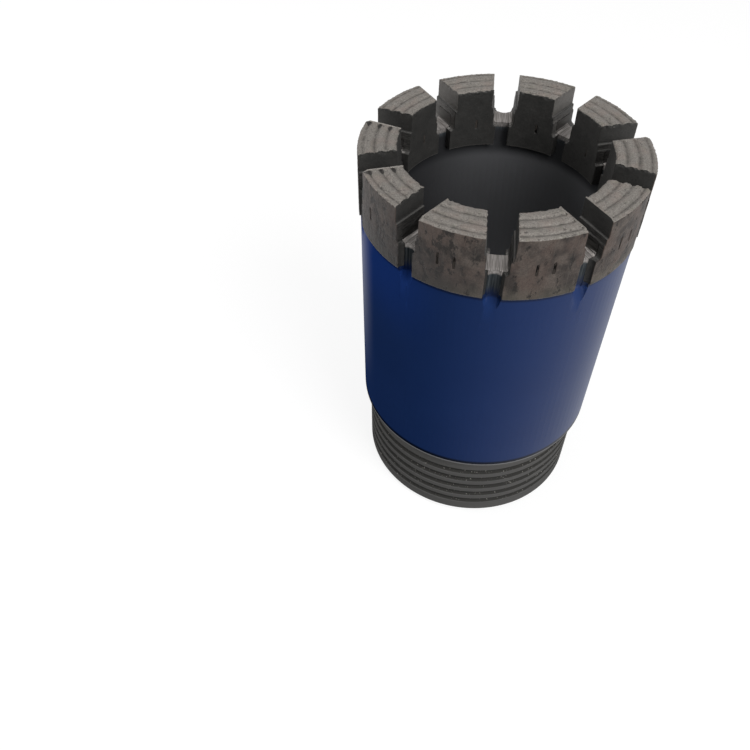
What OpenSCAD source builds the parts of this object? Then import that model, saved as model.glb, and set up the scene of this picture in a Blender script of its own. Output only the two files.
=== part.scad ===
// Diamond core bit: a turned steel blank with a male thread at one end and, on its nose,
// a crown of sintered matrix segments whose faces are ridged and whose gauge is pinned.
// It stands on its thread end with the crown up. Millimetres, +Z up, origin on the bit's
// axis at the end face of the thread.

/* [Crown] */
// Outside diameter of the crown, the hole that it cuts
crown_d = 75.3; // [66:0.1:100]
// Thickness of the crown between the hole and the core
crown_wall = 10.3; // [9.6:0.1:11.4]
// Segments round the crown, with a waterway between each two
segment_count = 10; // [8:1:11]
// Height of the matrix down the outside of the nose
matrix_outer_h = 18.6; // [16:0.1:24]
// Height of the matrix down the inside of the nose
matrix_inner_h = 17.3; // [15.5:0.1:22]
// Thickness of the matrix outside the nose
matrix_outer_t = 2.05; // [1.9:0.05:2.5]
// Thickness of the matrix inside the nose
matrix_inner_t = 2.35; // [2.1:0.05:2.6]

/* [Ridged face] */
// Rings of ridges across each segment's face, not counting the narrow one at the outer rim
ridge_count = 3; // [2:1:4]
// Depth of the grooves between the ridges
groove_depth = 0.45; // [0.3:0.05:0.7]
// Distance of the innermost crest from the inner wall
ridge_inset = 1.4; // [1:0.1:1.5]
// Width of the bevel round the outer rim of the face
rim_bevel_w = 1.3; // [0.6:0.1:1.6]
// Height of that bevel
rim_bevel_h = 0.65; // [0.3:0.05:0.8]
// Thickness of the moulding fin that closes the grooves at one end of a segment
fin_t = 0.55; // [0.4:0.05:0.8]

/* [Waterways] */
// Width of a waterway between the faces of two segments
waterway_w = 7; // [6.4:0.1:8]
// Depth of the upper ledge below the crown's face
ledge_depth = 5.5; // [4.6:0.1:6.4]
// Width of a waterway between its two ledges
throat_w = 6; // [5.9:0.1:6.3]
// Depth of the lower ledge below the crown's face
throat_depth = 7.2; // [6.6:0.1:7.3]
// Depth of the blank's nose, inside the matrix, below the crown's face
nose_depth = 7.6; // [7.6:0.1:8.6]
// Depth of the saddle, the floor of a waterway, below the crown's face
saddle_depth = 11.2; // [10.2:0.1:12.4]
// Width of the saddle
saddle_w = 5.6; // [5.2:0.1:5.7]
// Radius between the saddle's floor and its walls
saddle_corner_r = 0.9; // [0.5:0.1:1.2]
// How far the saddle lies to the clockwise side of its waterway
saddle_offset = 0.1; // [0:0.02:0.1]

/* [Blank] */
// Overall height, from the end of the thread to the crown's face
overall_h = 120; // [100:1:160]
// How far the painted body lies inside the hole
body_relief = 0.55; // [0.3:0.05:0.9]
// How far the bore lies outside the core
bore_relief = 1.45; // [0.8:0.05:2]
// Length of the cone that leads from the nose into the bore
bore_cone_l = 2.1; // [1:0.1:4]
// Bevel round the mouth of the bore at the thread end
mouth_bevel = 1; // [0.4:0.1:1.6]

/* [Flutes] */
// Width of the flutes down the outside, round in section
flute_w = 4.5; // [4.2:0.1:4.7]
// Depth of the outside flutes below the crown's surface
flute_depth = 2.65; // [2.6:0.05:3.4]
// Length of a flute below the matrix, with its run-out
flute_tail_l = 4.4; // [4.2:0.1:12]
// Slope of the run-out at the end of a flute
runout_angle = 28; // [27:1:40]
// Angle by which the outside flutes trail the waterways, on average
flute_lag = 0.7; // [0.5:0.1:0.7]
// Width of the flutes down the inside, square in section
inner_flute_w = 3.6; // [3:0.1:3.7]

/* [Thread] */
// Width of the shoulder between the body and the crests of the thread
shoulder_w = 1.9; // [1.4:0.1:3]
// Length of the threaded spigot, from its end to the shoulder
thread_l = 30.5; // [28:0.5:40]
// Distance from one thread groove to the next
thread_pitch = 4.2; // [3.6:0.1:4.6]
// Grooves cut by the thread
thread_turns = 5; // [3:1:5]
// Height of the lowest groove above the end face
thread_start = 7.5; // [5.5:0.1:8]
// Depth of a thread groove
thread_depth = 1; // [0.6:0.1:1.3]
// Width of a thread groove at its root
thread_root_w = 1.5; // [1:0.1:1.8]
// Slope of a thread groove's sides from square
thread_flank = 20; // [5:1:30]
// Depth of the bevel that starts the thread at the end of the spigot
spigot_bevel = 1.3; // [1.1:0.1:2]
// Length of that bevel
spigot_bevel_l = 2; // [1:0.1:4]
// Bevel on the edge of the shoulder
shoulder_bevel = 0.3; // [0.1:0.1:0.6]

/* [Gauge pins] */
// Thickness of a gauge pin
gauge_pin_t = 0.5; // [0.4:0.05:0.8]
// Height of an outside gauge pin
gauge_pin_h = 3.6; // [2.5:0.1:5]
// Height of an inside gauge pin
inner_pin_h = 2.6; // [2:0.1:4]
// Depth to which a gauge pin is set into the matrix
gauge_pin_seat = 1.2; // [0.8:0.1:1.5]
// Depth of the outside pins' upper ends below the crown's face
gauge_pin_top = 7.6; // [6:0.1:8.6]
// Depth of the inside pins' upper ends below the crown's face
inner_pin_top = 9.2; // [7.6:0.1:10]
// How far a pin's edge lies below the gauge
gauge_pin_sink = 0.15; // [0.05:0.05:0.3]
// Angle between the two outside pins of a segment
gauge_pin_spacing = 6.4; // [4:0.1:9]

/* [Hidden] */
$fn = 128;
joint = 1;
through = 2;

crown_ro = crown_d / 2;
crown_ri = crown_ro - crown_wall;
nose_ro = crown_ro - matrix_outer_t;
nose_ri = crown_ri + matrix_inner_t;
body_r = crown_ro - body_relief;
bore_r = crown_ri + bore_relief;
thread_r = body_r - shoulder_w;
flute_r = flute_w / 2;
flute_floor_r = crown_ro - flute_depth;

ledge_z = overall_h - ledge_depth;
throat_z = overall_h - throat_depth;
nose_z = overall_h - nose_depth;
saddle_z = overall_h - saddle_depth;
skirt_z = overall_h - matrix_outer_h;
inner_skirt_z = overall_h - matrix_inner_h;

segment_pitch = 360 / segment_count;
// The angle left free between two sectors, less than the narrowest cut of a waterway takes
sector_gap = 1;
// How far the cutter overruns where a flute starts to slant
cutter_mark = 0.2;
first_waterway = -90;
outer_pin_mid = -1;
inner_pin_angle = -2.3;

// The end of each segment's face that carries the fin: 1 where it is the end reached last
// on the way round anticlockwise, and -1 where it is the first.
fin_ends = [1, -1, 1, 1, 1, -1, -1, -1, -1, -1];

// How much further than the average each flute trails its waterway, in degrees, and how much
// further it runs below the matrix: they are milled by hand, and no two are alike.
flute_drifts = [0, 0.9, -0.1, -0.3, 0.1, -0.2, 0.1, -0.3, -0.1, -0.4];
flute_extras = [0, 1.1, 0.4, 0.9, 0.2, 0.7, 0.1, 0.5, 0.3, 0.2];

ridge_pitch = (crown_wall - ridge_inset) / ridge_count;
ridge_r = (pow(ridge_pitch / 2, 2) + pow(groove_depth, 2)) / (2 * groove_depth);
ridge_centre_z = overall_h - ridge_r;

SEGMENTS = [for (i = [1:segment_count]) str("segment_", i < 10 ? "0" : "", i)];

function waterway_angle(i) = first_waterway + i * segment_pitch;
function segment_angle(i) = first_waterway + (i - 0.5) * segment_pitch;
function fin_end(i) = fin_ends[(i - 1) % len(fin_ends)];
function at_waterway(list, i) = list[(i % segment_count) % len(list)];

// Slot of constant width along the X axis, from inside the crown to outside it
module radial_slot(width, floor_z) {
    translate([crown_ri - through, -width / 2, floor_z])
        cube([crown_wall + 2 * through, width, overall_h - floor_z + through]);
}

// Section of the saddle: upright walls, rounded into a flat floor
module saddle_section() {
    flat = saddle_w - 2 * saddle_corner_r;
    height = overall_h - saddle_z + through;
    translate([-saddle_w / 2, saddle_corner_r])
        square([saddle_w, height - saddle_corner_r]);
    translate([-flat / 2, 0])
        square([flat, height]);
    for (side = [-1, 1])
        translate([side * flat / 2, saddle_corner_r])
            circle(r = saddle_corner_r);
}

module saddle_cut() {
    translate([crown_ri - through, -saddle_offset, saddle_z])
        rotate([90, 0, 90])
            linear_extrude(height = crown_wall + 2 * through)
                saddle_section();
}

// Flute of waterway i with a round floor, which slants out to the surface at its lower end
module flute_cut(i) {
    tail_l = flute_tail_l + at_waterway(flute_extras, i);
    runout_h = (body_r - flute_floor_r) / tan(runout_angle);
    bend_z = skirt_z - tail_l + runout_h;
    slant_r = flute_floor_r + flute_r / cos(runout_angle);
    rotate([0, 0, -flute_lag - at_waterway(flute_drifts, i)]) {
        translate([flute_floor_r + flute_r, 0, bend_z - cutter_mark])
            cylinder(r = flute_r, h = saddle_z + saddle_corner_r - bend_z + cutter_mark);
        intersection() {
            translate([slant_r, 0, bend_z])
                rotate([0, 180 - runout_angle, 0])
                    translate([0, 0, -flute_w])
                        cylinder(r = flute_r, h = 3 * tail_l + flute_w);
            translate([crown_ri, -flute_w, bend_z - 3 * tail_l])
                cube([crown_ro, 2 * flute_w, 3 * tail_l + cutter_mark]);
        }
    }
}

// Square flute down the inside, through the matrix to the nose behind it
module inner_flute_cut() {
    reach = matrix_inner_t + 2 * through;
    translate([crown_ri - through, -inner_flute_w / 2, inner_skirt_z - through])
        cube([reach, inner_flute_w, saddle_z - inner_skirt_z + 2 * through]);
}

// Everything that waterway i takes out of the matrix
module matrix_waterway(i) {
    radial_slot(waterway_w, ledge_z);
    radial_slot(throat_w, throat_z);
    saddle_cut();
    flute_cut(i);
    inner_flute_cut();
}

// Section of the matrix, clasping the nose from above, outside and inside
module matrix_section() {
    polygon([
        [crown_ri, inner_skirt_z],
        [crown_ri, overall_h],
        [crown_ro - rim_bevel_w, overall_h],
        [crown_ro, overall_h - rim_bevel_h],
        [crown_ro, skirt_z],
        [nose_ro, skirt_z],
        [nose_ro, nose_z],
        [nose_ri, nose_z],
        [nose_ri, inner_skirt_z]
    ]);
}

// What the rounded ridges leave open above the face, down to sharp grooves between them
module groove_section() {
    difference() {
        translate([crown_ri - joint, ridge_centre_z])
            square([crown_wall + 2 * joint, ridge_r + joint]);
        for (i = [0:ridge_count])
            translate([crown_ri + ridge_inset + i * ridge_pitch, ridge_centre_z])
                circle(r = ridge_r);
    }
}

// The grooves of segment i, which stop at the fin at one end
module face_grooves(i) {
    fin_waterway = fin_end(i) > 0 ? i : i - 1;
    difference() {
        rotate([0, 0, waterway_angle(i - 1)])
            rotate_extrude(angle = segment_pitch)
                groove_section();
        rotate([0, 0, waterway_angle(fin_waterway)])
            radial_slot(waterway_w + 2 * fin_t, ridge_centre_z - through);
    }
}

// Blade-shaped pin on the X axis between two radii, given the depth of its upper end and its height
module gauge_pin(inner_r, outer_r, top, height) {
    translate([inner_r, -gauge_pin_t / 2, overall_h - top - height])
        cube([outer_r - inner_r, gauge_pin_t, height]);
}

// The outside pins of segment i, or with clear set the open slits that they sit in
module outer_pins(i, clear = 0) {
    for (side = [-1, 1])
        rotate([0, 0, segment_angle(i) + outer_pin_mid + side * gauge_pin_spacing / 2])
            gauge_pin(crown_ro - gauge_pin_seat, crown_ro - gauge_pin_sink + clear, gauge_pin_top, gauge_pin_h);
}

// The inside pin of segment i, or with clear set the open slit that it sits in
module inner_pin(i, clear = 0) {
    rotate([0, 0, segment_angle(i) + inner_pin_angle])
        gauge_pin(crown_ri + gauge_pin_sink - clear, crown_ri + gauge_pin_seat, inner_pin_top, inner_pin_h);
}

module segment(i) {
    color("#6a6560")
        difference() {
            rotate([0, 0, waterway_angle(i - 1) + sector_gap / 2])
                rotate_extrude(angle = segment_pitch - sector_gap)
                    matrix_section();
            face_grooves(i);
            for (end = [i - 1, i])
                rotate([0, 0, waterway_angle(end)])
                    matrix_waterway(end);
            outer_pins(i, joint);
            inner_pin(i, joint);
        }
}

// Section of the blank: spigot, shoulder, body, nose and bore
module blank_section() {
    polygon([
        [bore_r + mouth_bevel, 0],
        [thread_r - spigot_bevel, 0],
        [thread_r, spigot_bevel_l],
        [thread_r, thread_l],
        [body_r - shoulder_bevel, thread_l],
        [body_r, thread_l + shoulder_bevel],
        [body_r, skirt_z],
        [nose_ro, skirt_z],
        [nose_ro, nose_z],
        [nose_ri, nose_z],
        [nose_ri, inner_skirt_z],
        [bore_r, inner_skirt_z - bore_cone_l],
        [bore_r, mouth_bevel]
    ]);
}

// Section of one thread groove, wider at its mouth than at its root
module thread_groove_section() {
    root_half = thread_root_w / 2;
    spread = tan(thread_flank);
    polygon([
        [thread_r - thread_depth, -root_half],
        [thread_r + joint, -root_half - (thread_depth + joint) * spread],
        [thread_r + joint, root_half + (thread_depth + joint) * spread],
        [thread_r - thread_depth, root_half]
    ]);
}

module steel_blank() {
    color("#2c4fa3")
        difference() {
            rotate_extrude()
                difference() {
                    blank_section();
                    for (turn = [0:thread_turns - 1])
                        translate([0, thread_start + turn * thread_pitch])
                            thread_groove_section();
                }
            for (i = [1:segment_count])
                rotate([0, 0, waterway_angle(i)]) {
                    saddle_cut();
                    flute_cut(i);
                }
        }
}

module outer_gauge_pins() {
    color("#2b2b2d")
        for (i = [1:segment_count])
            outer_pins(i);
}

module inner_gauge_pins() {
    color("#2b2b2d")
        for (i = [1:segment_count])
            inner_pin(i);
}

steel_blank();
for (i = [1:segment_count])
    segment(i);
outer_gauge_pins();
inner_gauge_pins();
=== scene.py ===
# %% [markdown]
# # A diamond core bit
# The bit is a steel tube, turned in one piece, that carries a crown of sintered segments. The
# segments are cast metal powder full of diamond grit, so they look like rough dark iron. The tube
# is painted blue outside, and bare where it was cut after painting or screws into the next tool.
# The frame gives every piece at its true size and place, so this script only has to give each one
# its surface.

import math

import bpy
from mathutils import Matrix, Vector


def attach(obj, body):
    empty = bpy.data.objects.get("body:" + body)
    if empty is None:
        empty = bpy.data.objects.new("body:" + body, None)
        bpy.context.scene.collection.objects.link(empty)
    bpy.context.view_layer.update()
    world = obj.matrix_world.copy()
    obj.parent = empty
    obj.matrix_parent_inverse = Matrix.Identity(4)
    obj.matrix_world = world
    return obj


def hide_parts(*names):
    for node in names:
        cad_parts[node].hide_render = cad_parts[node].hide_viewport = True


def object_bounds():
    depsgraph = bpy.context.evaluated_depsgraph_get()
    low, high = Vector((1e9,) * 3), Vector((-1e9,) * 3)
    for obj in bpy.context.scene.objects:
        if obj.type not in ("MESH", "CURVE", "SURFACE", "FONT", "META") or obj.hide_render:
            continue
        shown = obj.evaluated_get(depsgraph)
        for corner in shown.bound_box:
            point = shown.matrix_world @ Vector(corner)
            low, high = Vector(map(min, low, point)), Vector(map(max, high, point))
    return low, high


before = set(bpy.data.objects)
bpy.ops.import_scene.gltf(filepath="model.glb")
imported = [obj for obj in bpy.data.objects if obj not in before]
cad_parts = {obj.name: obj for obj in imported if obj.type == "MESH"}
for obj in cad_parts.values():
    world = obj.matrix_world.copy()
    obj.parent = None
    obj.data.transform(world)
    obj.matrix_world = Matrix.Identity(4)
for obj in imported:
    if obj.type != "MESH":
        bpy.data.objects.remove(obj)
cad_box = [list(corner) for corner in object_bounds()]
MM = 0.001
SEGMENTS = sorted(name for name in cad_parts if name.startswith("segment_"))
WATERWAYS = len(SEGMENTS)


def reach(node):
    """The largest distance of a node's surface from the bit's axis."""
    return max(math.hypot(v.co.x, v.co.y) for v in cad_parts[node].data.vertices)


crown_r = reach(SEGMENTS[0])
height = cad_box[1][2]
print(f"The crown is {2 * crown_r / MM:.1f} mm across and the bit {height / MM:.1f} mm long")

# %% [markdown]
# ## The camera
# The photograph looks steeply down on the crown from close by, so the tube narrows visibly
# towards its foot. Blender could point a camera with a constraint. Here its place and turn are
# written out, because they were fitted to the crown's rings and waterways. The place is given in
# radii of the crown, so that it follows the frame. A roll of less than a degree levels the rings
# as the photograph has them.

# %% Set the camera
CAMERA_FROM_AXIS = (-0.2708, -4.5328)
CAMERA_ABOVE_CROWN = 2.803
CAMERA_AZIMUTH = 98.0
CAMERA_DIP = 49.17
CAMERA_ROLL = -0.85
SENSOR_MM = 36.0
LENS_MM = 35.95
NEAREST_SEEN = 0.01


def camera_turn(azimuth, dip, roll):
    """The rotation of a camera that looks along an azimuth and down by a dip, in degrees."""
    a, d, r = (math.radians(x) for x in (azimuth, dip, roll))
    ahead = Vector((math.cos(d) * math.cos(a), math.cos(d) * math.sin(a), -math.sin(d)))
    right = Vector((math.sin(a), -math.cos(a), 0.0))
    up = right.cross(ahead)
    right, up = (
        math.cos(r) * right + math.sin(r) * up,
        math.cos(r) * up - math.sin(r) * right,
    )
    return Matrix((right, up, -ahead)).transposed().to_4x4()


camera_data = bpy.data.cameras.new("camera")
camera_data.sensor_width = SENSOR_MM
camera_data.lens = LENS_MM
camera_data.clip_start = NEAREST_SEEN
camera = bpy.data.objects.new("camera", camera_data)
bpy.context.collection.objects.link(camera)
eye = Vector((*(crown_r * c for c in CAMERA_FROM_AXIS), height + crown_r * CAMERA_ABOVE_CROWN))
turn = camera_turn(CAMERA_AZIMUTH, CAMERA_DIP, CAMERA_ROLL)
camera.matrix_world = Matrix.Translation(eye) @ turn
bpy.context.scene.camera = camera
bpy.context.scene.view_settings.view_transform = "Standard"
print("The camera stands at", [round(c, 4) for c in eye])

# %% [markdown]
# ## Recipes for materials
# Materials are node graphs. Writing each node by hand hides the idea, so a small class wraps a
# socket and lets Python's own operators add the Math nodes: `dark = 1 - mask * 0.4` builds the
# graph that it says. The Math nodes that have no operator get a method with a plain name.


# %% Write shader maths as expressions
class Value:
    """A socket that takes part in Python sums."""

    def __init__(self, recipe, socket):
        self.recipe, self.socket = recipe, socket

    def _math(self, operation, *values):
        settings = {"operation": operation}
        return self.recipe.node("ShaderNodeMath", settings, dict(enumerate(values)))

    def __add__(self, other):
        return self._math("ADD", self, other)

    def __radd__(self, other):
        return self._math("ADD", other, self)

    def __sub__(self, other):
        return self._math("SUBTRACT", self, other)

    def __rsub__(self, other):
        return self._math("SUBTRACT", other, self)

    def __mul__(self, other):
        return self._math("MULTIPLY", self, other)

    def __rmul__(self, other):
        return self._math("MULTIPLY", other, self)

    def __truediv__(self, other):
        return self._math("DIVIDE", self, other)

    def __rtruediv__(self, other):
        return self._math("DIVIDE", other, self)

    def __pow__(self, other):
        return self._math("POWER", self, other)

    def __rpow__(self, other):
        return self._math("POWER", other, self)

    def __abs__(self):
        return self._math("ABSOLUTE", self)

    def cosine(self):
        return self._math("COSINE", self)

    def angle_over(self, across):
        """The angle, in radians, of an arm that goes this far up and that far across."""
        return self._math("ARCTAN2", self, across)

    def either(self, other):
        """The larger of two masks."""
        return self._math("MAXIMUM", self, other)

    def wrap(self, period):
        """What is left of a positive value after whole periods."""
        return self._math("MODULO", self, period)

    def fold(self, half):
        """The distance from the nearest multiple of twice half."""
        return self._math("PINGPONG", self, half)

    def smooth(self, low, high):
        """0 below low and 1 above high, with a soft step between. A larger low turns it round."""
        if low > high:
            return 1.0 - self.smooth(high, low)
        settings = {"interpolation_type": "SMOOTHSTEP"}
        return self.recipe.node("ShaderNodeMapRange", settings, {0: self, 1: low, 2: high})


print("A soft step and the operators of Python now add nodes")

# %% [markdown]
# Every other node comes from one method, `node`. It takes the node's type, its settings, and for
# each socket a number, a colour or a link. The same method serves the materials and the world.


# %% Add nodes through one method
class Recipe:
    """The node graph of a material or of the world, in the making."""

    def __init__(self, owner):
        owner.use_nodes = True
        self.owner, self.tree = owner, owner.node_tree
        self.tree.nodes.clear()

    def node(self, kind, settings=None, sockets=None, output=0):
        """Adds a node, makes its settings, fills or links its sockets, and returns one output."""
        made = self.tree.nodes.new(kind)
        for key, value in (settings or {}).items():
            setattr(made, key, value)
        for key, value in (sockets or {}).items():
            if isinstance(value, Value):
                self.tree.links.new(value.socket, made.inputs[key])
            else:
                made.inputs[key].default_value = value
        return Value(self, made.outputs[output]) if made.outputs else None

    def surface(self, sockets):
        """Ends the recipe with one shader, and returns the material."""
        shader = self.node("ShaderNodeBsdfPrincipled", {}, sockets)
        self.node("ShaderNodeOutputMaterial", {}, {"Surface": shader})
        return self.owner


def material_recipe(name):
    """The empty recipe of a new material."""
    return Recipe(bpy.data.materials.new(name))


print("Recipes are ready")

# %% [markdown]
# A finish is a base colour with coats laid over it, each through a mask: rust, scratches, painted
# shade.
# The masks are made from noise, at the size that the real grain or blotch has in millimetres, and
# from the place on the bit. An image could do the same, but it would need a picture of every side
# and stay blurred close up. Noise that is squeezed along an axis gives the lines of a tool.


# %% Mix colours and make patterns
def mix(mask, a, b):
    """The colour a where the mask is 0 and b where it is 1."""
    a, b = (c if isinstance(c, Value) else (*c, 1.0) for c in (a, b))
    sockets = {"Factor": mask, 6: a, 7: b}
    return mask.recipe.node("ShaderNodeMix", {"data_type": "RGBA"}, sockets, output=2)


def cover(colour, *coats):
    """Lays coats over a colour in turn, each through its mask."""
    for mask, coat in coats:
        colour = mix(mask, colour, coat)
    return colour


def stretch(point, factors):
    """The point with its axes scaled, so that a pattern on it is drawn out the other way."""
    settings = {"operation": "MULTIPLY"}
    return point.recipe.node("ShaderNodeVectorMath", settings, {0: point, 1: factors})


def noise(point, size, detail=2.0, rough=0.5):
    """Soft noise from 0 to 1, whose largest lumps are about size millimetres across."""
    sockets = {"Vector": point, "Scale": 1 / size, "Detail": detail, "Roughness": rough}
    return point.recipe.node("ShaderNodeTexNoise", {}, sockets)


def bump(relief):
    """A normal that follows a relief in millimetres."""
    return relief.recipe.node("ShaderNodeBump", {}, {"Height": relief, "Distance": MM})


print("Colours, noise and relief have their helpers")

# %% [markdown]
# Most finishes on this bit depend on where they are: on the crown's face or its ground side, near
# a waterway or between two. Object coordinates are in metres from the bit's origin, so a few sums
# turn them into a height, a distance from the axis and a distance from the nearest waterway. They
# stay with the metal when the bit is turned or seen from another side.


# %% Find the place on the bit
def place(recipe):
    """The point on the surface, in millimetres from the bit's origin."""
    point = recipe.node("ShaderNodeTexCoord", output="Object")
    settings = {"operation": "SCALE"}
    return recipe.node("ShaderNodeVectorMath", settings, {0: point, "Scale": 1 / MM})


def part(vector, axis):
    """The x, y or z of a vector, for the axis 0, 1 or 2."""
    return vector.recipe.node("ShaderNodeSeparateXYZ", {}, {0: vector}, output=axis)


class Spot:
    """Where a point of the surface is, in millimetres and radians, and which way it faces."""

    def __init__(self, recipe):
        self.point = place(recipe)
        self.x, self.y, self.z = (part(self.point, axis) for axis in range(3))
        self.radius = (self.x * self.x + self.y * self.y) ** 0.5
        self.angle = self.y.angle_over(self.x)
        # the distance from the middle of the nearest waterway, one of which is at the front
        self.across = (self.angle + math.pi / 2).fold(math.pi / WATERWAYS) * self.radius
        self.normal = recipe.node("ShaderNodeNewGeometry", output="Normal")
        # 1 on the walls of a waterway, which face along the crown's ring
        self.tangential = abs(self.facing_round((0, 0, 1)))

    def upward(self):
        """1 on a level face, and 0 on an upright wall."""
        return part(self.normal, 2)

    def facing_round(self, axis):
        """How far the surface faces round an axis through the origin, from -1 to 1."""
        node, kind = self.point.recipe.node, "ShaderNodeVectorMath"
        ring = node(kind, {"operation": "CROSS_PRODUCT"}, {0: self.point, 1: axis})
        ring = node(kind, {"operation": "NORMALIZE"}, {0: ring})
        sockets = {0: self.normal, 1: ring}
        return node(kind, {"operation": "DOT_PRODUCT"}, sockets, output="Value")


print("A spot can tell its distance from the nearest of", WATERWAYS, "waterways")

# %% [markdown]
# ## The sintered matrix
# The segments are pressed and sintered in a mould, ground to gauge and then slotted, so every one
# of their surfaces looks different. Each surface could have a material of its own, with the faces
# sorted between them, but the borders would follow the mesh. One material that tells the surfaces
# apart by radius, height, distance from the waterway and facing has clean borders wherever the
# real ones are.

# %% Measure the crown
CROWN_R = crown_r / MM
CROWN_Z = height / MM
WALL = 10.3  # the crown's thickness
CORE_R = CROWN_R - WALL
FIRST_VALLEY_R = 30.23
RIDGE_PITCH = 2.967
RIDGE_BUMP = 0.2
SLOT_HALF = 3.5  # half the width of a waterway between the faces of two segments
LEDGE_Z = 114.5  # its upper ledge
THROAT_Z = 112.8  # its lower ledge
THROAT_HALF = 3.15  # a little over half its width between the ledges
SADDLE_Z = 108.8  # its steel floor
SKIRT_Z = 101.4  # the foot of a segment outside
INNER_SKIRT_Z = 102.7  # and inside
FIN_END = SLOT_HALF + 0.55  # the back of the thin fin that closes the valleys
POST_R = 29.7  # the inside of the nose, where narrow posts of the matrix are bright
print(f"The ridged face's valleys are {RIDGE_PITCH} mm apart in a wall of {WALL} mm")

# %% [markdown]
# The gauge is the ground cylinder outside. It is a blotched brown, with upright scratches, rust
# and dark spots from use. Towards one side of the bit there are more spots and a darker, cooler
# grey, and there a darker band reaches up from the foot, with an edge that noise makes uneven: on
# that side these are painted shade. One noise alone looks like clouds. Several sizes of it on top
# of each other look like metal that has been used.

# %% Mix the ground gauge
GAUGE = {
    "iron": (0.038, 0.031, 0.028),
    "bronze": (0.125, 0.102, 0.088),
    "rust": (0.112, 0.081, 0.068),
    "scratch": (0.14, 0.125, 0.11),
    "pore": (0.03, 0.026, 0.024),
    "foot": (0.12, 0.115, 0.09),
    "spot": (0.014, 0.013, 0.012),
    "cool_shade": (0.045, 0.045, 0.047),
    "shade_from_foot": (0.034, 0.032, 0.032),
    "hem": (0.14, 0.15, 0.17),
}


def ground_gauge(at):
    """The brown, blotched cylinder that the segments are ground to, and its relief."""
    grain = noise(at.point, 0.35, detail=3.0, rough=0.6)
    cloud = noise(at.point, 4.5, detail=4.0, rough=0.6)
    warm = noise(stretch(at.point, (1.0, 1.0, 0.7)), 6.0, detail=3.0)
    blots = noise(stretch(at.point, (1.0, 1.0, 0.6)), 2.0, detail=4.0, rough=0.65)
    scratches = noise(stretch(at.point, (1.0, 1.0, 0.08)), 0.5, detail=2.0)
    # the darkest blots are spots, and towards negative x, on the camera's left, more of them
    # count, which adds painted shade on that side
    spots = (blots - at.x.smooth(2, -12) * 0.05).smooth(0.44, 0.33)
    # painted shade: a darker band rising from the foot towards negative x
    shade_from_foot = at.x.smooth(4, -16) * (at.z + cloud * 8.0).smooth(119, 108)
    colour = cover(
        mix(cloud.smooth(0.36, 0.64), GAUGE["iron"], GAUGE["bronze"]),
        (warm.smooth(0.45, 0.65) * 0.7, GAUGE["rust"]),
        (scratches.smooth(0.5, 0.75) * 0.3, GAUGE["scratch"]),
        (grain.smooth(0.6, 0.35) * 0.35, GAUGE["pore"]),
        (at.z.smooth(SKIRT_Z + 4.5, SKIRT_Z + 1.0) * 0.3, GAUGE["foot"]),
        (spots * 0.8, GAUGE["spot"]),
        # painted shade: a darker, cooler grey towards negative x
        (at.x.smooth(-8, -30) * 0.35, GAUGE["cool_shade"]),
        (shade_from_foot * 0.7, GAUGE["shade_from_foot"]),
        (at.z.smooth(SKIRT_Z + 0.4, SKIRT_Z + 0.15) * 0.5, GAUGE["hem"]),
    )
    return colour, grain * 0.05 + scratches * 0.05 - spots * 0.12


print("The ground gauge has", len(GAUGE), "colours")

# %% [markdown]
# The ridged face does the drilling. Its ridges are in the mesh, and the material adds grey dust
# everywhere, painted shade in the valleys, open pores, and a shallow bump that deepens each
# valley.
# A thin fin closes the valleys at one end of each segment. On the segment at the left of the view
# the valleys are darker behind it, and its top is rubbed pale, so a mask picks out the first half
# of a segment on that side of the bit.

# %% Mix the ridged face
FACE = {
    "dust_and_light": (0.122, 0.112, 0.1),
    "metal": (0.25, 0.231, 0.21),
    "warm": (0.23, 0.18, 0.157),
    "green": (0.16, 0.165, 0.13),
    "slope_shade": (0.08, 0.074, 0.066),
    "valley": (0.03, 0.028, 0.025),
    "closed_end_dark": (0.014, 0.013, 0.012),
    "rubbed_and_lit": (0.36, 0.335, 0.31),
    "pore": (0.04, 0.037, 0.034),
}


def ridged_face(at):
    """The pale face, with painted shade in the valleys between its ridges, and its relief."""
    grain = noise(at.point, 0.3, detail=3.0, rough=0.7)
    cloud = noise(at.point, 4.0, detail=3.0)
    tint = noise(at.point, 2.0, detail=3.0)
    worn = noise(at.point, 1.2, detail=2.0)
    pores = noise(at.point, 0.7, detail=3.0, rough=0.6).smooth(0.4, 0.3)
    from_valley = (at.radius - FIRST_VALLEY_R).fold(RIDGE_PITCH / 2)
    valley = from_valley + (worn - 0.5) * 0.7
    # 0 on the tops of the ridges, so that painted shade and relief stay between them
    sunk = at.z.smooth(CROWN_Z - 0.12, CROWN_Z - 0.34)
    patchy_valley_shade = sunk * (tint.smooth(0.35, 0.6) * 0.7 + 0.3)
    # how far round the segment, in radians, counted from the waterway before it
    along = (at.angle + math.pi / 2 + math.tau).wrap(math.tau / WATERWAYS)
    finned = along.smooth(0.35, 0.3) * at.angle.cosine().smooth(-0.7, -0.8)
    # the closed end of each valley, narrower the further it is from the fin
    pocket = (from_valley * 1.5 + at.across).smooth(FIN_END + 2.3, FIN_END + 1.8)
    fin = at.across.smooth(FIN_END + 0.05, FIN_END - 0.15)
    colour = cover(
        mix(grain.smooth(0.3, 0.7), FACE["dust_and_light"], FACE["metal"]),
        (cloud.smooth(0.45, 0.65) * 0.35, FACE["warm"]),
        (tint.smooth(0.55, 0.7) * 0.3, FACE["green"]),
        # painted shade on the slopes and deeper in the valleys, in patches
        (valley.smooth(1.0, 0.2) * 0.35 * patchy_valley_shade, FACE["slope_shade"]),
        (valley.smooth(0.3, 0.05) * 0.5 * patchy_valley_shade, FACE["valley"]),
        # darker in the closed ends of the valleys behind the fin
        (pocket * finned * sunk * 0.9, FACE["closed_end_dark"]),
        (fin * finned * 0.5, FACE["rubbed_and_lit"]),
        (pores * 0.6, FACE["pore"]),
    )
    depth = (1.0 - from_valley / (RIDGE_PITCH / 2)) ** 2
    return colour, grain * 0.08 + worn * 0.05 - depth * sunk * RIDGE_BUMP - pores * 0.1


print("The ridged face has", len(FACE), "colours")
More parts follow.
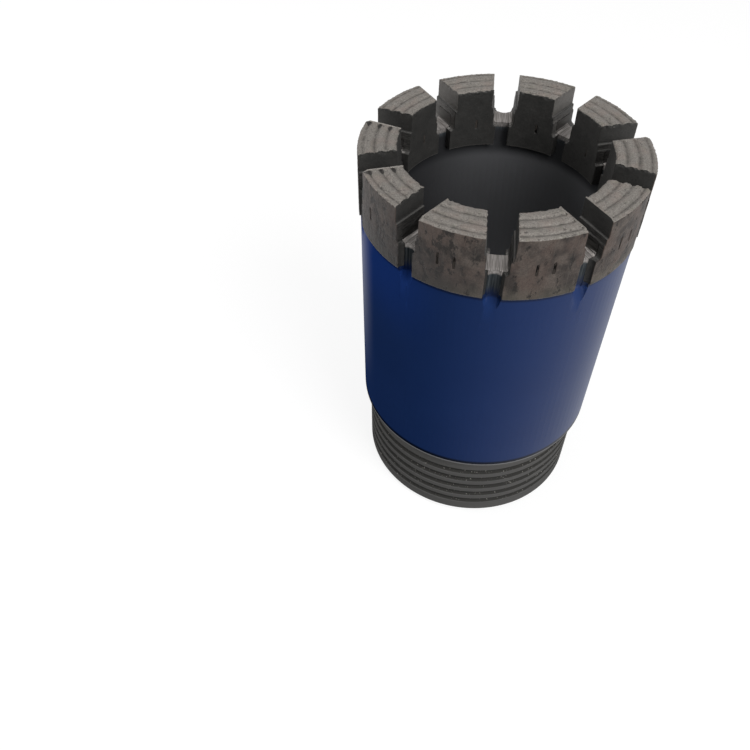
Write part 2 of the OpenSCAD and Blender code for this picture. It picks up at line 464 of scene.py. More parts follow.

# %% [markdown]
# The sides of a segment keep the dark skin of the mould above the ledge. Below it the cutter of
# the waterway passed and left fine lines across. The walls on the far side of the crown are
# painted paler, as painted light. Narrow posts at the inside of the nose face outwards and show
# the metal brightest, so their mask asks for a radius as well as a facing.

# %% Mix the sides of the waterways
SIDE = {
    "skin": (0.03, 0.03, 0.029),
    "thin_skin": (0.062, 0.06, 0.057),
    "grain": (0.09, 0.087, 0.08),
    "rubbed_and_lit": (0.15, 0.141, 0.131),
    "cut": (0.03, 0.029, 0.028),
    "cut_line": (0.075, 0.072, 0.068),
    "bare": (0.2, 0.19, 0.18),
    "bare_line": (0.4, 0.38, 0.36),
}
# the far side of the crown is painted paler, as painted light
FAR_LIT_Y = (12, 26)  # where the far side of the crown begins, and where it has begun


def slotted_side(at):
    """The skin of a segment's sides, with what the waterway's cutter laid bare, and its relief."""
    grain = noise(at.point, 0.3, detail=3.0, rough=0.7)
    cloud = noise(at.point, 3.0, detail=3.0)
    lines = noise(stretch(at.point, (1.0, 1.0, 6.0)), 1.6, detail=2.0)
    # painted light: on the far side the upper walls and the cut steel are painted paler
    far_lit = at.y.smooth(*FAR_LIT_Y)
    rubbed_and_lit = far_lit * at.z.smooth(LEDGE_Z, LEDGE_Z + 0.3) * at.tangential.smooth(0.5, 0.8)
    skin = cover(
        mix(cloud, SIDE["skin"], SIDE["thin_skin"]),
        (grain.smooth(0.5, 0.8) * 0.3, SIDE["grain"]),
        (rubbed_and_lit * 0.8, SIDE["rubbed_and_lit"]),
    )
    line = lines.smooth(0.3, 0.7)
    # below the lower ledge, facing in or out, and within a narrow band of radius
    post = at.z.smooth(THROAT_Z + 0.2, THROAT_Z - 0.1) * at.tangential.smooth(0.7, 0.4)
    post = post * at.radius.smooth(POST_R - 1.2, POST_R - 0.8)
    post = post * at.radius.smooth(POST_R + 0.6, POST_R + 0.3)
    cut = cover(
        mix(line, SIDE["cut"], SIDE["cut_line"]),
        (far_lit * 0.35, SIDE["bare"]),
        (post, mix(line, SIDE["bare"], SIDE["bare_line"])),
    )
    # from the saddle to the upper ledge, between the lower ledges, and not inside the crown
    passed = at.z.smooth(LEDGE_Z - 0.15, LEDGE_Z - 0.35) * at.z.smooth(SADDLE_Z - 0.4, SADDLE_Z)
    passed = passed * at.across.smooth(THROAT_HALF + 0.35, THROAT_HALF + 0.15)
    passed = passed * at.radius.smooth(CORE_R + 0.2, CORE_R + 0.4)
    return mix(passed, skin, cut), grain * 0.05 + lines * 0.04


print("The sides have", len(SIDE), "colours")

# %% [markdown]
# The three finishes now come together: the sides everywhere, the gauge over them outside, and the
# face on top. The rims of the face are rubbed pale, and Pointiness finds them, because it is high
# where the mesh bends outwards. Sintered powder is only partly metallic to the eye, and never
# glossy.

# %% Put the matrix together
MATRIX_METALLIC = 0.4
MATRIX_SPECULAR = 0.3
LEDGE_HIGHLIGHT = (0.11, 0.105, 0.1)
HEM_COLOUR = (0.13, 0.125, 0.118)
RIM_COLOUR = (0.3, 0.28, 0.26)


def sintered_matrix():
    """The material of a segment."""
    recipe = material_recipe("sintered_matrix")
    at = Spot(recipe)
    upward = at.upward()
    face = upward.smooth(0.45, 0.75) * at.z.smooth(CROWN_Z - 1.8, CROWN_Z - 1.4)
    # painted highlight: the level ledges, which face up, are painted lighter
    ledge = upward.smooth(0.7, 0.95) * at.z.smooth(CROWN_Z - 1.5, CROWN_Z - 1.9)
    outside = at.radius.smooth(CROWN_R - 0.4, CROWN_R - 0.22)
    hem = at.radius.smooth(CORE_R + 0.45, CORE_R + 0.25)
    hem = hem * at.z.smooth(INNER_SKIRT_Z + 0.45, INNER_SKIRT_Z + 0.2)
    pointed = recipe.node("ShaderNodeNewGeometry", output="Pointiness")
    rim = pointed.smooth(0.54, 0.64) * at.z.smooth(CROWN_Z - 1.2, CROWN_Z - 0.9)
    side, side_relief = slotted_side(at)
    gauge, gauge_relief = ground_gauge(at)
    pale, pale_relief = ridged_face(at)
    colour = cover(
        side,
        (ledge * 0.4, LEDGE_HIGHLIGHT),
        (hem * 0.6, HEM_COLOUR),
        (outside, gauge),
        (face, pale),
        (rim * 0.4, RIM_COLOUR),
    )
    relief = side_relief * (1.0 - outside) + gauge_relief * outside + pale_relief * face
    return recipe.surface(
        {
            "Base Color": colour,
            "Metallic": MATRIX_METALLIC,
            "Roughness": 0.45 + noise(at.point, 1.0, detail=3.0) * 0.25,
            "Specular IOR Level": MATRIX_SPECULAR,
            "Normal": bump(relief),
        }
    )


matrix_look = sintered_matrix()
print("Mixed", matrix_look.name, "with", len(matrix_look.node_tree.nodes), "nodes")

# %% [markdown]
# ## The segments
# The frame's solids have the segments' true section, but with knife-sharp edges, which sintered
# powder can't hold. Their meshes are loose triangles, so each is copied and its doubles are
# merged first. A few small helpers do what the mouse would: select one object, add a modifier and
# apply it.

# %% Copy a solid and shape it
MERGE = 0.001 * MM


def pick(obj):
    """Makes one object the only one selected."""
    bpy.ops.object.select_all(action="DESELECT")
    obj.select_set(True)
    bpy.context.view_layer.objects.active = obj


def apply(obj, kind, settings):
    """Adds a modifier to an object, sets it and applies it."""
    pick(obj)
    modifier = obj.modifiers.new(kind.lower(), kind)
    for key, value in settings.items():
        setattr(modifier, key, value)
    bpy.ops.object.modifier_apply(modifier=modifier.name)


def copy_of(node, name):
    """A closed copy of a node's mesh, whose triangles the frame keeps apart."""
    obj = bpy.data.objects.new(name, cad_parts[node].data.copy())
    bpy.context.collection.objects.link(obj)
    pick(obj)
    bpy.ops.object.mode_set(mode="EDIT")
    bpy.ops.mesh.select_all(action="SELECT")
    bpy.ops.mesh.remove_doubles(threshold=MERGE)
    bpy.ops.mesh.normals_make_consistent(inside=False)
    bpy.ops.object.mode_set(mode="OBJECT")
    return obj


def dress(obj, material):
    """Gives an object one material."""
    obj.data.materials.clear()
    obj.data.materials.append(material)


print("Each of", len(SEGMENTS), "segments will be a copy of its solid")

# %% [markdown]
# The powder never quite fills its mould, so the skin of a segment is full of shallow hollows.
# They could be sculpted by hand. Two sizes of cloudy noise, applied as Displace modifiers, press
# them in the same way each time. With a middle level of 1 the noise never pushes out, so the
# crown keeps its gauge.

# %% Press hollows
HOLLOWS = {
    # name: the size of the hollows and their depth, in millimetres
    "lumps": (1.8, 0.07),
    "grit": (0.6, 0.08),
}


def clouds(name, size, octaves):
    """A texture of soft noise, whose lumps have a size in millimetres."""
    texture = bpy.data.textures.new(name, "CLOUDS")
    texture.noise_scale, texture.noise_depth = size * MM, octaves
    return texture


def press(piece, texture, depth, group=""):
    """Pushes the skin of a piece in by a texture, all over or where a vertex group says."""
    settings = {"texture": texture, "texture_coords": "LOCAL", "vertex_group": group}
    apply(piece, "DISPLACE", {**settings, "strength": depth * MM, "mid_level": 1.0})


hollows = [(clouds(name, size, 2), depth) for name, (size, depth) in HOLLOWS.items()]
print("Hollows, by size and depth in millimetres:", HOLLOWS)

# %% [markdown]
# The rims of the face lose crumbs as they drill. A crumb is a deeper hollow with a sharp edge, so
# its noise has more contrast. A vertex group holds a weight for each point, and lets the crumbs
# break out only near the rims, and not on the thin fin that closes the valleys at one end of the
# face.

# %% Chip the rims
CHIP_SIZE, CHIP_DEPTH = 0.8, 0.22
CHIP_CONTRAST, CHIP_BRIGHTNESS = 4.0, 1.35
RIM_WIDTH, RIM_DEPTH = 0.6, 1.4  # how far crumbs reach in and down
FIN_WIDTH = 0.7  # no crumbs this close to the waterway at the fin's end

chips = clouds("chips", CHIP_SIZE, 1)
chips.contrast, chips.intensity = CHIP_CONTRAST, CHIP_BRIGHTNESS


def near_rim(at, fin_end):
    """1 on the rims of the face, falling to 0 beside and below them, and 0 on the fin."""
    radius = math.hypot(at.x, at.y)
    sector = math.tau / WATERWAYS
    along = (math.atan2(at.y, at.x) + math.pi / 2) % sector
    ends = (along * radius - SLOT_HALF, (sector - along) * radius - SLOT_HALF)
    open_end, fin = ends if fin_end > 0 else reversed(ends)
    if fin < FIN_WIDTH:
        return 0.0
    aside = min(radius - CORE_R, CROWN_R - radius, open_end)
    return max(0.0, 1.0 - aside / RIM_WIDTH) * max(0.0, 1.0 - (CROWN_Z - at.z) / RIM_DEPTH)


def chip(piece, fin_end):
    """Breaks crumbs out of the rims of a segment's face."""
    group = piece.vertex_groups.new(name="rim")
    for v in piece.data.vertices:
        weight = near_rim(v.co / MM, fin_end)
        if weight > 0:
            group.add([v.index], weight, "REPLACE")
    press(piece, chips, CHIP_DEPTH, group.name)


print("Crumbs are up to", CHIP_DEPTH, "mm deep")

# %% [markdown]
# Each segment is cast in the same steps. A voxel remesh gives an even mesh and rounds each edge
# by about a voxel. A bevel would leave long faces, and noise needs many small ones. Then come the
# hollows and the crumbs, a light smoothing and a decimation, because flat parts don't need all
# those faces. Last, no point may stand above the crown. FIN_ENDS says at which end of each
# segment the fin is: 1 for the end that comes last when going anticlockwise round the crown, seen
# from above, and -1 for the other.

# %% Cast the segments
VOXEL = 0.18 * MM
SMOOTHING = 0.3
FACES_KEPT = 0.55
FIN_ENDS = (1, -1, 1, 1, 1, -1, -1, -1, -1, -1)


def cast(node, fin_end):
    """One segment of matrix with its rounded edges and uneven skin."""
    piece = copy_of(node, node + "_cast")
    apply(piece, "REMESH", {"mode": "VOXEL", "voxel_size": VOXEL, "use_smooth_shade": True})
    for texture, depth in hollows:
        press(piece, texture, depth)
    chip(piece, fin_end)
    apply(piece, "SMOOTH", {"factor": SMOOTHING, "iterations": 1})
    apply(piece, "DECIMATE", {"ratio": FACES_KEPT})
    for v in piece.data.vertices:
        v.co.z = min(v.co.z, height)
    dress(piece, matrix_look)
    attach(piece, "root")
    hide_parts(node)
    return piece


segments = [cast(node, fin_end) for node, fin_end in zip(SEGMENTS, FIN_ENDS)]
print("Cast", len(segments), "segments of", max(len(s.data.polygons) for s in segments), "faces")

# %% [markdown]
# ## The blank
# The spigot's thread is right-handed, so its grooves can't be rings. A spigot is turned from a
# cylinder, as on a lathe: its lower end is drawn in to a bevel, bored, and joined to the far end.
# Each step of the lathe is an extrusion and a scaling of the end face, and a bridge between the
# two open rings makes the last wall.

# %% Turn the spigot
SHOULDER_Z = 30.5
BORE_R = 28.8
THREAD_R = 35.2
LATHE_SIDES = 256
BEVEL_IN, BEVEL_UP = 1.3, 2.0
BORE_EDGE = 1.0  # the small bevel where the bore begins
LEVEL = 0.9  # how far a normal points up or down on a level face
LATHE_STEPS = [
    # from one radius to the next, and the rise between them, in millimetres
    (THREAD_R, THREAD_R - BEVEL_IN, -BEVEL_UP),
    (THREAD_R - BEVEL_IN, BORE_R + BORE_EDGE, 0.0),
    (BORE_R + BORE_EDGE, BORE_R, BORE_EDGE),
    (BORE_R, BORE_R, SHOULDER_Z - BORE_EDGE),
]


def select_where(obj, test):
    """In face mode, selects the faces whose middle and normal pass a test."""
    bpy.ops.mesh.select_all(action="DESELECT")
    bpy.ops.object.mode_set(mode="OBJECT")
    for face in obj.data.polygons:
        face.select = test(face.center / MM, face.normal)
    bpy.ops.object.mode_set(mode="EDIT")


bpy.ops.object.select_all(action="DESELECT")
bpy.ops.mesh.primitive_cylinder_add(
    vertices=LATHE_SIDES,
    radius=THREAD_R * MM,
    depth=(SHOULDER_Z - BEVEL_UP) * MM,
    location=(0, 0, (SHOULDER_Z + BEVEL_UP) / 2 * MM),
)
bpy.ops.object.transform_apply(location=True)
spigot = bpy.context.object
spigot.name = "spigot"
bpy.ops.object.mode_set(mode="EDIT")
bpy.ops.mesh.select_mode(type="FACE")
select_where(spigot, lambda at, normal: normal.z < -LEVEL)
for start, end, rise in LATHE_STEPS:
    bpy.ops.mesh.extrude_region_move(TRANSFORM_OT_translate={"value": (0, 0, rise * MM)})
    bpy.ops.transform.resize(value=(end / start, end / start, 1.0))
bpy.ops.mesh.delete(type="ONLY_FACE")
select_where(spigot, lambda at, normal: normal.z > LEVEL and math.hypot(at.x, at.y) < BORE_EDGE)
bpy.ops.mesh.delete(type="ONLY_FACE")
bpy.ops.mesh.select_mode(type="EDGE")
bpy.ops.mesh.select_non_manifold()
bpy.ops.mesh.bridge_edge_loops()
bpy.ops.mesh.select_all(action="SELECT")
bpy.ops.mesh.normals_make_consistent(inside=False)
bpy.ops.object.mode_set(mode="OBJECT")
print("The spigot has", len(spigot.data.polygons), "faces")

# %% [markdown]
# A thread is cut by a tool with the groove's section, which travels along as the work turns. The
# cutter here is that section, a plane drawn in at the groove's root, carried round by a Screw
# modifier. It stands a little proud of the steel, so that the cut goes cleanly through the
# surface.

# %% Make the thread's cutter
GROOVE_PITCH = 4.2
GROOVE_TURNS = 5
GROOVE_DEPTH = 1.0
GROOVE_ROOT = 1.8
GROOVE_FLANK = math.tan(math.radians(20))
CUTTER_PROUD = 1.0
CUTTER_STEPS = 128

section = GROOVE_DEPTH + CUTTER_PROUD
half_root = GROOVE_ROOT / 2
half_top = half_root + section * GROOVE_FLANK
cutter_middle = THREAD_R + (CUTTER_PROUD - GROOVE_DEPTH) / 2
bpy.ops.object.select_all(action="DESELECT")
bpy.ops.mesh.primitive_plane_add(
    size=1.0, location=(cutter_middle * MM, 0, 0), rotation=(math.pi / 2, 0, 0)
)
cutter = bpy.context.object
cutter.name = "thread_cutter"
cutter.scale = (section * MM, 2 * half_top * MM, 1.0)
bpy.ops.object.transform_apply(location=True, rotation=True, scale=True)
bpy.ops.object.mode_set(mode="EDIT")
bpy.ops.mesh.select_mode(type="VERT")
bpy.ops.mesh.select_all(action="DESELECT")
bpy.ops.object.mode_set(mode="OBJECT")
for v in cutter.data.vertices:
    v.select = v.co.x < cutter_middle * MM
bpy.ops.object.mode_set(mode="EDIT")
bpy.ops.transform.resize(value=(1.0, 1.0, half_root / half_top))
bpy.ops.mesh.select_all(action="SELECT")
bpy.ops.mesh.delete(type="ONLY_FACE")
bpy.ops.object.mode_set(mode="OBJECT")
travel = {"axis": "Z", "screw_offset": GROOVE_PITCH * MM, "iterations": GROOVE_TURNS}
steps = {"angle": math.tau, "steps": CUTTER_STEPS, "render_steps": CUTTER_STEPS}
apply(cutter, "SCREW", {**travel, **steps})
bpy.ops.object.mode_set(mode="EDIT")
bpy.ops.mesh.select_all(action="SELECT")
bpy.ops.mesh.fill_holes(sides=0)
bpy.ops.mesh.normals_make_consistent(inside=False)
bpy.ops.object.mode_set(mode="OBJECT")
print("The cutter has", len(cutter.data.polygons), "faces")

# %% [markdown]
# A real thread doesn't start at full depth: the tool comes in over part of a turn and leaves the
# same way. So the two ends of the cutter are drawn outwards, clear of the steel, before a Boolean
# modifier takes the cutter away from the spigot.

# %% Cut the thread
GROOVE_FIRST_Z = 5.0
GROOVE_FIRST_ANGLE = math.radians(100)
PLUNGE_TURN = 0.12  # the part of a turn over which the tool comes in
PLUNGE_OUT = GROOVE_DEPTH * 1.1


def plunge(cutter):
    """Turns the cutter to its start, lifts it there, and draws its ends out of the steel."""
    for v in cutter.data.vertices:
        x, y, z = v.co
        turned = (math.atan2(y, x) / math.tau) % 1.0
        turns = turned + round(z / MM / GROOVE_PITCH - turned)
        from_end = max(0.0, min(turns, GROOVE_TURNS - turns))
        r = math.hypot(x, y) + max(0.0, 1.0 - from_end / PLUNGE_TURN) * PLUNGE_OUT * MM
        a = math.atan2(y, x) + GROOVE_FIRST_ANGLE
        v.co = (r * math.cos(a), r * math.sin(a), z + GROOVE_FIRST_Z * MM)


plunge(cutter)
apply(spigot, "BOOLEAN", {"operation": "DIFFERENCE", "solver": "EXACT", "object": cutter})
bpy.data.objects.remove(cutter)
print("With its thread the spigot has", len(spigot.data.polygons), "faces")

# %% [markdown]
# Above the shoulder the blank is the frame's own mesh, cut off there and closed by a bridge
# between its two open rings. It and the spigot are two closed shells in one piece, which meet at
# the shoulder. The frame's facets are as long as the body, and smooth shading would carry the
# tilt of a flute's run-out all the way down them. So the body is also cut across at a few
# heights, which adds no shape, and the corner normals are weighted by the area of the faces.

# %% Join the blank
ACROSS_Z = (40, 60, 80, 88, 91, 92.5)
CUT_Z = SHOULDER_Z - 0.005  # a little below, so that the shoulder's own face stays whole
SMOOTH_BELOW = math.radians(20)

blank = copy_of("steel_blank", "blank")
bpy.ops.object.mode_set(mode="EDIT")
for z in ACROSS_Z:
    bpy.ops.mesh.select_all(action="SELECT")
    bpy.ops.mesh.bisect(plane_co=(0, 0, z * MM), plane_no=(0, 0, 1))
bpy.ops.mesh.select_all(action="SELECT")
bpy.ops.mesh.bisect(plane_co=(0, 0, CUT_Z * MM), plane_no=(0, 0, 1), clear_inner=True)
bpy.ops.mesh.select_mode(type="EDGE")
bpy.ops.mesh.select_all(action="DESELECT")
bpy.ops.mesh.select_non_manifold()
bpy.ops.mesh.bridge_edge_loops()
bpy.ops.object.mode_set(mode="OBJECT")
bpy.ops.object.select_all(action="DESELECT")
spigot.select_set(True)
blank.select_set(True)
bpy.context.view_layer.objects.active = blank
bpy.ops.object.join()
bpy.ops.object.shade_smooth_by_angle(angle=SMOOTH_BELOW)
apply(blank, "WEIGHTED_NORMAL", {"keep_sharp": True})
print("The blank has", len(blank.data.polygons), "faces")

# %% [markdown]
# ## The blank's finish
# The thread and the bore were never painted. The thread is turned steel, darker in its grooves,
# with pale flecks there that are painted glints, and the shoulder above it is a bare ring that is
# painted brighter as a highlight. The bore is dark steel, painted lighter low down and on one side
# as painted light, and painted darker just under the segments as shade. The three could be three
# materials. As coats in one material they can follow a radius or a height where the mesh has no
# edge.

# %% Mix the thread and the bore
TURNED = {
    "crest": (0.115, 0.113, 0.11),
    "crest_line": (0.16, 0.158, 0.154),
    "groove_dark": (0.055, 0.054, 0.051),
    "chip": (0.4, 0.38, 0.35),
    "shoulder": (0.26, 0.26, 0.265),
}
BORE = {
    "steel": (0.026, 0.026, 0.028),
    "steel_cloud": (0.034, 0.034, 0.036),
    "dust_and_light": (0.3, 0.305, 0.32),
    "shade": (0.02, 0.021, 0.023),
}


def threaded_end(at, fine, turned):
    """Bare turned crests, darker in the grooves with painted glints, and the bare ring at the
    shoulder painted brighter as a highlight.
    """
    # the grooves are darker, and the pale flecks in them are painted glints
    groove_dark = mix(fine.smooth(0.64, 0.72), TURNED["groove_dark"], TURNED["chip"])
    in_groove = at.radius.smooth(THREAD_R - 0.05, THREAD_R - 0.25)
    in_groove = in_groove * at.z.smooth(BEVEL_UP + 0.1, BEVEL_UP + 0.6)
    return cover(
        mix(turned, TURNED["crest"], TURNED["crest_line"]),
        (in_groove, groove_dark),
        # painted highlight: the bare ring at the shoulder is painted brighter than the crests
        (at.radius.smooth(THREAD_R + 0.8, THREAD_R + 1.2), TURNED["shoulder"]),
    )


def bore_with_painted_light(at, cloud):
    """Dark steel, painted lighter low down and on one side as painted light, and painted darker
    under the segments as shade.
    """
    # painted light: lighter towards positive x and low down
    dust_and_light = at.x.smooth(-30, 8) * 0.45 + at.z.smooth(85, 30) * 0.55
    return cover(
        mix(cloud, BORE["steel"], BORE["steel_cloud"]),
        (dust_and_light, BORE["dust_and_light"]),
        # painted shade just under the segments
        (at.z.smooth(SKIRT_Z - 3.4, SKIRT_Z + 0.1) * 0.75, BORE["shade"]),
    )


print("The thread has", len(TURNED), "colours and the bore", len(BORE))

# %% [markdown]
# The waterways were milled after painting. Their floors, the saddles, are bright steel with the
# lines of the cutter along them, and the upright cheeks beside them are dark. The flutes turn
# from bare dark steel to blue on their way down. The lines are noise on coordinates that are
# squeezed along the cutter's way, so they stay sharp across it and run on along it.

# %% Mix the milled steel
MILLED = {
    "saddle": (0.2, 0.185, 0.175),
    "saddle_line": (0.46, 0.43, 0.41),
    "cheek": (0.03, 0.029, 0.028),
    "cheek_line": (0.08, 0.077, 0.073),
    "rubbed_and_lit": (0.2, 0.19, 0.18),
    "flute": (0.03, 0.037, 0.042),
    "flute_line": (0.09, 0.1, 0.108),
}


def milled_nose(at, lines):
    """The bright saddles and their dark cheeks, which are painted paler on the far side as painted
    light.
    """
    line = lines.smooth(0.3, 0.7)
    cheek = cover(
        mix(line, MILLED["cheek"], MILLED["cheek_line"]),
        # painted light: the cheeks are painted paler on the far side
        (at.y.smooth(*FAR_LIT_Y) * 0.4, MILLED["rubbed_and_lit"]),
    )
    upright = at.tangential.smooth(0.7, 0.85)
    upright = upright.either(at.z.smooth(SADDLE_Z + 0.6, SADDLE_Z + 1.0))
    return mix(upright, mix(line, MILLED["saddle"], MILLED["saddle_line"]), cheek)


def bare_flute(drawn):
    """Dark steel with faint lines along the flute."""
    return mix(drawn.smooth(0.3, 0.7), MILLED["flute"], MILLED["flute_line"])


print("The milled steel has", len(MILLED), "colours")

# %% [markdown]
# Blue paint covers the body and the lower ends of the flutes. It is a deep blue that varies a
# little. A lighter patch below the crown is painted light, and painted shade makes the paint
# nearly black just under the segments and in the line above the shoulder, where the paint ends.
# Its sheen is a coat over the colour, because the metal below stays dull. The coat is stronger on
# one side, and on a narrow strip opposite, which paints a sheen there.

# %% Mix the paint
BODY_R = 37.1
COAT = 0.6
PAINT = {
    "blue": (0.0115, 0.032, 0.122),
    "blue_cloud": (0.014, 0.038, 0.14),
    "lit_blue": (0.014, 0.05, 0.26),
    "shade_under_crown": (0.004, 0.008, 0.025),
    "edge": (0.001, 0.002, 0.004),
}


def blue_paint(at, cloud):
    """The colour of the paint, with a patch of painted light and two bands of painted shade."""
    return cover(
        mix(cloud, PAINT["blue"], PAINT["blue_cloud"]),
        # painted light: a lighter, purer blue patch
        (at.x.smooth(-10, -28) * at.z.smooth(72, 99) * 0.6, PAINT["lit_blue"]),
        # painted shade: nearly black under the segments and above the shoulder
        (at.z.smooth(SKIRT_Z - 1.3, SKIRT_Z - 0.7) * 0.6, PAINT["shade_under_crown"]),
        (at.z.smooth(SHOULDER_Z + 2.6, SHOULDER_Z + 1.5) * 0.9, PAINT["edge"]),
    )


def where_painted(at, fine, drawn):
    """1 on the body and low in the flutes, where the paint has an uneven upper edge."""
    body = at.radius.smooth(BODY_R - 3.2, BODY_R - 2.6)
    above_shoulder = at.z.smooth(SHOULDER_Z + 0.7, SHOULDER_Z + 0.9)
    uneven = at.z + fine * 1.2 + drawn * 2.0
    return body * above_shoulder * uneven.smooth(SKIRT_Z + 4.6, SKIRT_Z + 0.6)


def sheen(at, painted):
    """How strong the coat is, stronger on one side and on a narrow strip opposite as a painted
    sheen.
    """
    strip = at.x.smooth(-31, -38) * at.z.smooth(35, 95)
    return painted * (at.x.smooth(-20, 45) + strip) * COAT


print("The paint has", len(PAINT), "colours")

# %% [markdown]
# One material holds all of the blank's finishes, because the blank is one piece of steel and
# their borders don't follow its faces. It starts from the flutes and lays the others over them,
# the paint last. The bump is fine lines on bare steel and a faint orange peel in the paint.

# %% Put the blank's finish together
FLUTE_TOP_Z = 107.6  # where a flute ends and the floor of a waterway begins
COAT_ROUGHNESS = 0.3


def painted_steel():
    """The material of the blank."""
    recipe = material_recipe("painted_steel")
    at = Spot(recipe)
    cloud = noise(at.point, 14.0, detail=3.0)
    fine = noise(at.point, 0.5, detail=3.0)
    turned = noise(stretch(at.point, (0.02, 0.02, 1.0)), 0.35, detail=2.0)
    drawn = noise(stretch(at.point, (1.0, 1.0, 0.05)), 0.4, detail=3.0)
    # the cutter ran along the radius, so the pattern is drawn out that way
    milled = {"X": at.across, "Y": at.radius * 0.05, "Z": at.z * 0.3}
    milled = recipe.node("ShaderNodeCombineXYZ", {}, milled)
    lines = noise(milled, 0.3, detail=3.0, rough=0.7)

    # masks, from the waterways' floors down to the thread
    high = at.z.smooth(FLUTE_TOP_Z - 0.5, FLUTE_TOP_Z + 0.3)
    low = at.z.smooth(SHOULDER_Z + 1.1, SHOULDER_Z + 1.0)
    in_bore = at.radius.smooth(BORE_R + 1.4, BORE_R + 1.1)
    in_bore = in_bore * at.z.smooth(FLUTE_TOP_Z, FLUTE_TOP_Z - 2.0)
    painted = where_painted(at, fine, drawn)
    colour = cover(
        bare_flute(drawn),
        (high, milled_nose(at, lines)),
        (low, threaded_end(at, fine, turned)),
        (in_bore, bore_with_painted_light(at, cloud)),
        (painted, blue_paint(at, cloud)),
    )
    peel = noise(at.point, 1.1, detail=1.0) * 0.006
    relief = peel + (turned * 0.02 + lines * 0.02 * high) * (1.0 - painted)
    return recipe.surface(
        {
            "Base Color": colour,
            "Metallic": in_bore * 0.25 + high * (1.0 - in_bore) * 0.5,
            "Roughness": 0.5 - painted * 0.2 + cloud * 0.06,
            "Specular IOR Level": 0.0,
            "Coat Weight": sheen(at, painted),
            "Coat Roughness": COAT_ROUGHNESS,
            "Normal": bump(relief),
        }
    )


steel_look = painted_steel()
dress(blank, steel_look)
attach(blank, "root")
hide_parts("steel_blank")
print("Painted", blank.name, "with", len(steel_look.node_tree.nodes), "nodes")

# %% [markdown]
# ## The gauge pins
# The gauge pins are strips of sintered diamond, nearly black, that show only as slits in the
# matrix. Their solids in the frame have the right shape, so they stay and only get a material. A
# little of the matrix is smeared over them along the height, as drilling drags it.

# %% Set the gauge pins
PIN_NODES = ("outer_gauge_pins", "inner_gauge_pins")
PIN_BLACK = (0.004, 0.004, 0.004)
SMEARED_MATRIX = (0.06, 0.052, 0.046)
PIN_SPECULAR = 0.03


def sintered_diamond():
    """The material of the gauge pins."""
    recipe = material_recipe("sintered_diamond")
    point = place(recipe)
    grain = noise(point, 0.25, detail=3.0)
    smeared = noise(stretch(point, (1.0, 1.0, 0.25)), 0.6, detail=3.0)
    return recipe.surface(
        {
            "Base Color": mix(smeared.smooth(0.36, 0.5), PIN_BLACK, SMEARED_MATRIX),
            "Roughness": 0.5 + grain * 0.2,
            "Specular IOR Level": PIN_SPECULAR,
            "Normal": bump(grain * 0.03),
        }
    )


pin_look = sintered_diamond()
for pin_node in PIN_NODES:
    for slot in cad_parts[pin_node].material_slots:
        slot.material = pin_look
print("Set", " and ".join(PIN_NODES))

# %% [markdown]
# ## The room
# The bit stands in a white room. Behind it the photograph is pure white, so the world is white to
# the camera and to shiny surfaces, and a plain grey to everything else, which keeps the light on
# the bit at a natural level. A white world alone would be simpler, but it would flatten every
# shadow on the metal.

# %% Make the room
ROOM_GREY = 0.22
WHITE, BLACK = (1.0, 1.0, 1.0), (0.0, 0.0, 0.0)
DIRECT_RAYS = ("Is Camera Ray", "Is Glossy Ray", "Is Transmission Ray")


def seen_directly(recipe):
    """1 where a ray comes from the camera, a reflection or a clear body, and 0 elsewhere."""
    path = recipe.node("ShaderNodeLightPath").socket.node
    camera_ray, glossy, clear = (Value(recipe, path.outputs[name]) for name in DIRECT_RAYS)
    return camera_ray.either(glossy).either(clear)


world = bpy.data.worlds.new("room")
bpy.context.scene.world = world
sky = Recipe(world)
grey = sky.node("ShaderNodeBackground", {}, {"Color": (*WHITE, 1.0), "Strength": ROOM_GREY})
white = sky.node("ShaderNodeBackground", {}, {"Color": (*WHITE, 1.0)})
both = sky.node("ShaderNodeMixShader", {}, {0: seen_directly(sky), 1: grey, 2: white})
sky.node("ShaderNodeOutputWorld", {}, {0: both})
print("The room is white to the camera and lights the bit at", ROOM_GREY)

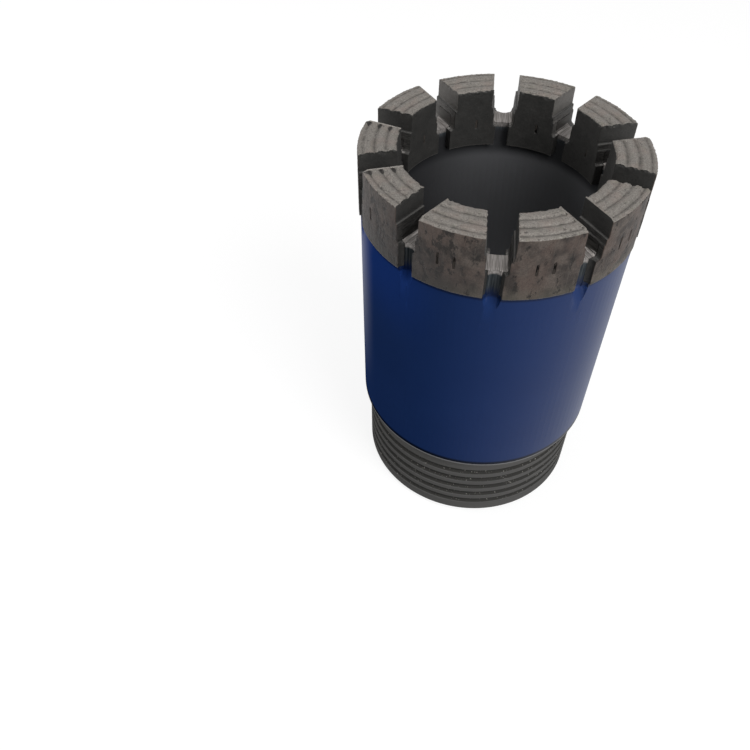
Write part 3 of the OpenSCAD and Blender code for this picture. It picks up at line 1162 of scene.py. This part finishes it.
# %% [markdown]
# The floor is a plain sheet under the bit, which marks where the bit stands by its shadow. It is
# lifted towards white in the same way as the world, by emission that only the camera and shiny
# surfaces see. Its own colour is a darker grey, because a white floor would throw its light back
# up under the bit.

# %% Lay the floor
FLOOR_SPAN = 40  # in lengths of the bit
FLOOR_COLOUR = (0.25, 0.25, 0.25)
FLOOR_LIFT = 0.82

bpy.ops.object.select_all(action="DESELECT")
bpy.ops.mesh.primitive_plane_add(size=FLOOR_SPAN * height, location=(0, 0, 0))
floor = bpy.context.object
floor.name = "floor"
pale_floor = material_recipe("pale_floor")
floor_look = pale_floor.surface(
    {
        "Base Color": (*FLOOR_COLOUR, 1.0),
        "Roughness": 1.0,
        "Specular IOR Level": 0.0,
        "Emission Color": mix(seen_directly(pale_floor) * FLOOR_LIFT, BLACK, WHITE),
        "Emission Strength": 1.0,
    }
)
dress(floor, floor_look)
print("The floor is", round(FLOOR_SPAN * height, 2), "m wide")

# %% [markdown]
# Three soft disks light the bit. A window at the front right brings out the ridges, a wide
# ceiling lamp fills the crown from above, and a doorway at the left adds the thin light edge on
# the blue there. Area lamps give soft shadows, where a sun or a point lamp would draw hard ones.

# %% Hang the lamps
LAMPS = {
    # name: azimuth and elevation from the bit, distance and size in metres, power in watts
    "window": ((315, 40), 0.9, 0.6, 5.4),
    "ceiling": ((265, 84), 1.0, 1.3, 3.6),
    "doorway": ((172, 22), 0.9, 0.5, 2.2),
}


def hang(name, azimuth, elevation, distance, size, power):
    """An area lamp that faces the middle of the bit."""
    a, e = math.radians(azimuth), math.radians(elevation)
    away = Vector((math.cos(e) * math.cos(a), math.cos(e) * math.sin(a), math.sin(e)))
    data = bpy.data.lights.new(name, "AREA")
    data.shape, data.size, data.energy = "DISK", size, power
    lamp = bpy.data.objects.new(name, data)
    lamp.location = Vector((0, 0, height / 2)) + away * distance
    lamp.rotation_euler = away.to_track_quat("Z", "Y").to_euler()
    bpy.context.collection.objects.link(lamp)


for lamp_name, (direction, distance, size, power) in LAMPS.items():
    hang(lamp_name, *direction, distance, size, power)
print("Lamps:", ", ".join(LAMPS))
